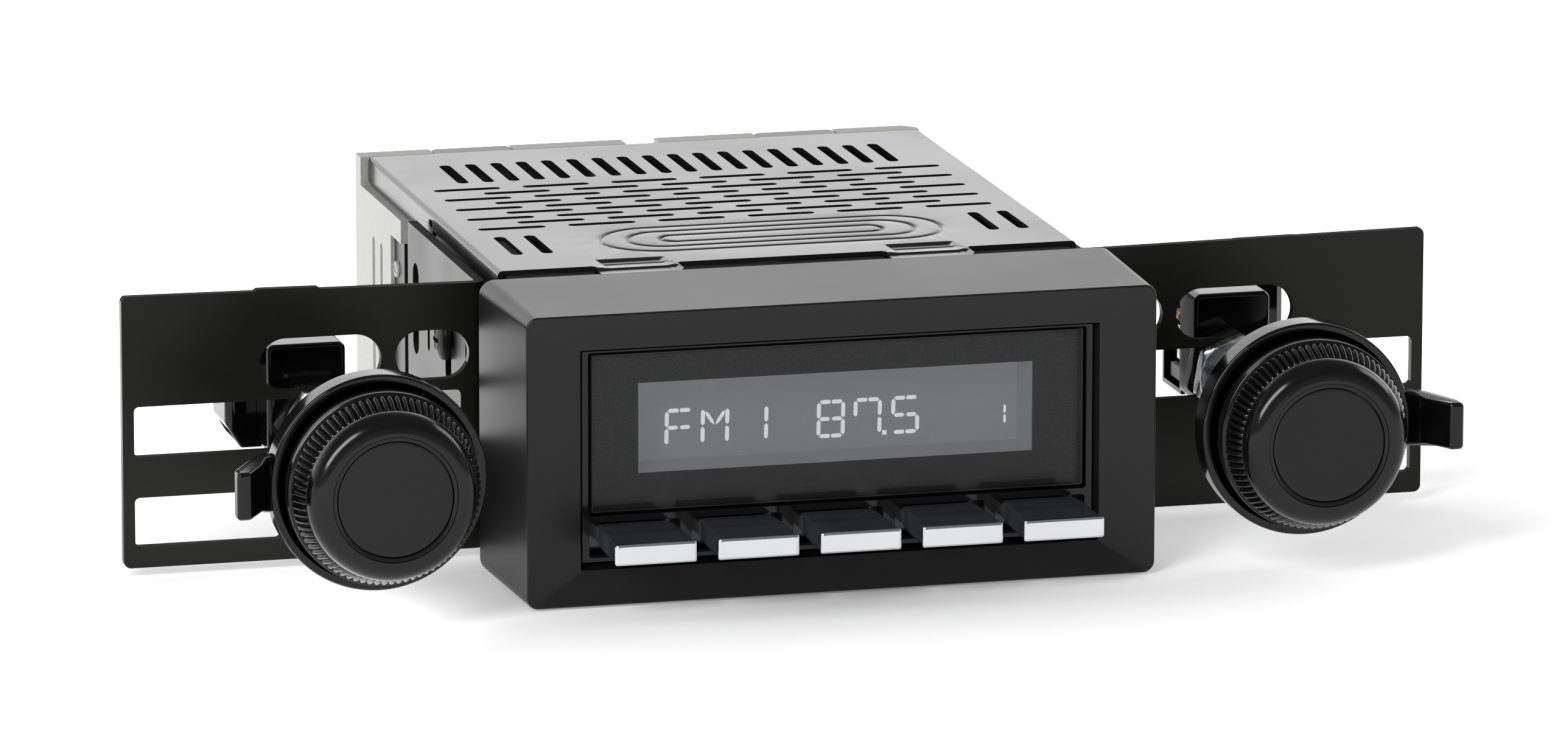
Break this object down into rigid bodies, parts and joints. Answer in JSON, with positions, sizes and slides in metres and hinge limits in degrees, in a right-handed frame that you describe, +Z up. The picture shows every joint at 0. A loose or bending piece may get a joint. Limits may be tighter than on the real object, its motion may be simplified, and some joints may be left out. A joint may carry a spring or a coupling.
{
  "type": "car radio",
  "caption": "Shaft-mounted car radio with a dished bezel, grey display, chrome-tipped push buttons and a ribbed knob with a rear lever on each adjustable side bracket.",
  "frame": {"origin": "on the surface the radio stands on, under the middle of its overall box", "axes": "+X to the viewer's right, +Y from the front of the radio to its back, +Z up"},
  "size_m": [0.2442, 0.1732, 0.0538],
  "materials": {
    "bezel_black": "fine satin grain",
    "gloss_black": "high gloss",
    "steel_black": "satin black paint",
    "cover_black": "gloss black paint",
    "chrome": "bright plated",
    "zinc": "bright zinc plate",
    "cast_aluminium": "rough as cast",
    "smoked_lens": "clear gloss",
    "display_glass": "grey liquid crystal",
    "white_plastic": "diffusing",
    "circuit_board": "solder mask",
    "connector_black": "moulded",
    "inlay_black": "matte",
    "tinplate": "tinned",
    "sleeve_plastic": "shrink sleeve"
  },
  "bodies": {
    "radio_body": {"chassis_tray": "steel_black", "top_cover": "cover_black", "rear_heat_sink": "cast_aluminium", "main_circuit_board": "circuit_board", "tuner_module": "tinplate", "power_amplifier": "connector_black", "filter_capacitor": "sleeve_plastic", "front_housing": "connector_black", "face_panel": "gloss_black", "bezel": "bezel_black", "display_lens": "smoked_lens", "lcd_panel": "display_glass", "backlight_panel": "white_plastic", "front_circuit_board": "circuit_board", "button_switch_strip": "connector_black", "antenna_socket": "zinc", "power_socket": "connector_black", "phono_sockets": "connector_black", "left_bracket_screw_front": "zinc", "left_bracket_screw_rear": "zinc", "right_bracket_screw_front": "zinc", "right_bracket_screw_rear": "zinc"},
    "button_1": {"push_button_1": "gloss_black", "button_cap_1": "chrome"},
    "button_2": {"push_button_2": "gloss_black", "button_cap_2": "chrome"},
    "button_3": {"push_button_3": "gloss_black", "button_cap_3": "chrome"},
    "button_4": {"push_button_4": "gloss_black", "button_cap_4": "chrome"},
    "button_5": {"push_button_5": "gloss_black", "button_cap_5": "chrome"},
    "left_bracket": {"left_side_bracket": "steel_black"},
    "left_control": {"left_encoder": "zinc", "left_shaft_nut_front": "zinc", "left_shaft_nut_rear": "zinc", "left_control_pod": "gloss_black", "left_control_housing": "connector_black", "left_control_board": "circuit_board"},
    "left_lever": {"left_lever_ring": "gloss_black", "left_lever_sleeve": "zinc"},
    "left_push": {"left_push_plunger": "white_plastic"},
    "left_knob_turn": {"left_knob": "gloss_black", "left_knob_inlay": "inlay_black", "left_knob_shaft": "zinc"},
    "right_bracket": {"right_side_bracket": "steel_black"},
    "right_control": {"right_encoder": "zinc", "right_shaft_nut_front": "zinc", "right_shaft_nut_rear": "zinc", "right_control_pod": "gloss_black", "right_control_housing": "connector_black", "right_control_board": "circuit_board"},
    "right_lever": {"right_lever_ring": "gloss_black", "right_lever_sleeve": "zinc"},
    "right_push": {"right_push_plunger": "white_plastic"},
    "right_knob_turn": {"right_knob": "gloss_black", "right_knob_inlay": "inlay_black", "right_knob_shaft": "zinc"}
  },
  "joints": [
    {"name": "button_1_push", "type": "slide", "parent": "radio_body", "child": "button_1", "axis": [0, 1, 0], "range_m": [0, 0.0015], "stiffness_N_per_m": 300},
    {"name": "button_2_push", "type": "slide", "parent": "radio_body", "child": "button_2", "axis": [0, 1, 0], "range_m": [0, 0.0015], "stiffness_N_per_m": 300},
    {"name": "button_3_push", "type": "slide", "parent": "radio_body", "child": "button_3", "axis": [0, 1, 0], "range_m": [0, 0.0015], "stiffness_N_per_m": 300},
    {"name": "button_4_push", "type": "slide", "parent": "radio_body", "child": "button_4", "axis": [0, 1, 0], "range_m": [0, 0.0015], "stiffness_N_per_m": 300},
    {"name": "button_5_push", "type": "slide", "parent": "radio_body", "child": "button_5", "axis": [0, 1, 0], "range_m": [0, 0.0015], "stiffness_N_per_m": 300},
    {"name": "left_bracket_height", "type": "slide", "parent": "radio_body", "child": "left_bracket", "axis": [0, 0, 1], "range_m": [-0.006, 0.006]},
    {"name": "left_control_spacing", "type": "slide", "parent": "left_bracket", "child": "left_control", "axis": [-1, 0, 0], "range_m": [-0.005, 0.025]},
    {"name": "left_lever_turn", "type": "hinge", "parent": "left_control", "child": "left_lever", "pos_m": [-0.0854, -0.078, 0.0259], "axis": [0, 1, 0], "range_deg": [-50, 50]},
    {"name": "left_knob_push", "type": "slide", "parent": "left_control", "child": "left_push", "axis": [0, 1, 0], "range_m": [0, 0.0009], "stiffness_N_per_m": 500},
    {"name": "left_knob_turn", "type": "hinge", "parent": "left_push", "child": "left_knob_turn", "pos_m": [-0.0854, -0.078, 0.0259], "axis": [0, 1, 0], "continuous": true},
    {"name": "right_bracket_height", "type": "slide", "parent": "radio_body", "child": "right_bracket", "axis": [0, 0, 1], "range_m": [-0.006, 0.006]},
    {"name": "right_control_spacing", "type": "slide", "parent": "right_bracket", "child": "right_control", "axis": [1, 0, 0], "range_m": [-0.005, 0.025]},
    {"name": "right_lever_turn", "type": "hinge", "parent": "right_control", "child": "right_lever", "pos_m": [0.0854, -0.078, 0.0259], "axis": [0, 1, 0], "range_deg": [-50, 50]},
    {"name": "right_knob_push", "type": "slide", "parent": "right_control", "child": "right_push", "axis": [0, 1, 0], "range_m": [0, 0.0009], "stiffness_N_per_m": 500},
    {"name": "right_knob_turn", "type": "hinge", "parent": "right_push", "child": "right_knob_turn", "pos_m": [0.0854, -0.078, 0.0259], "axis": [0, 1, 0], "continuous": true}
  ]
}
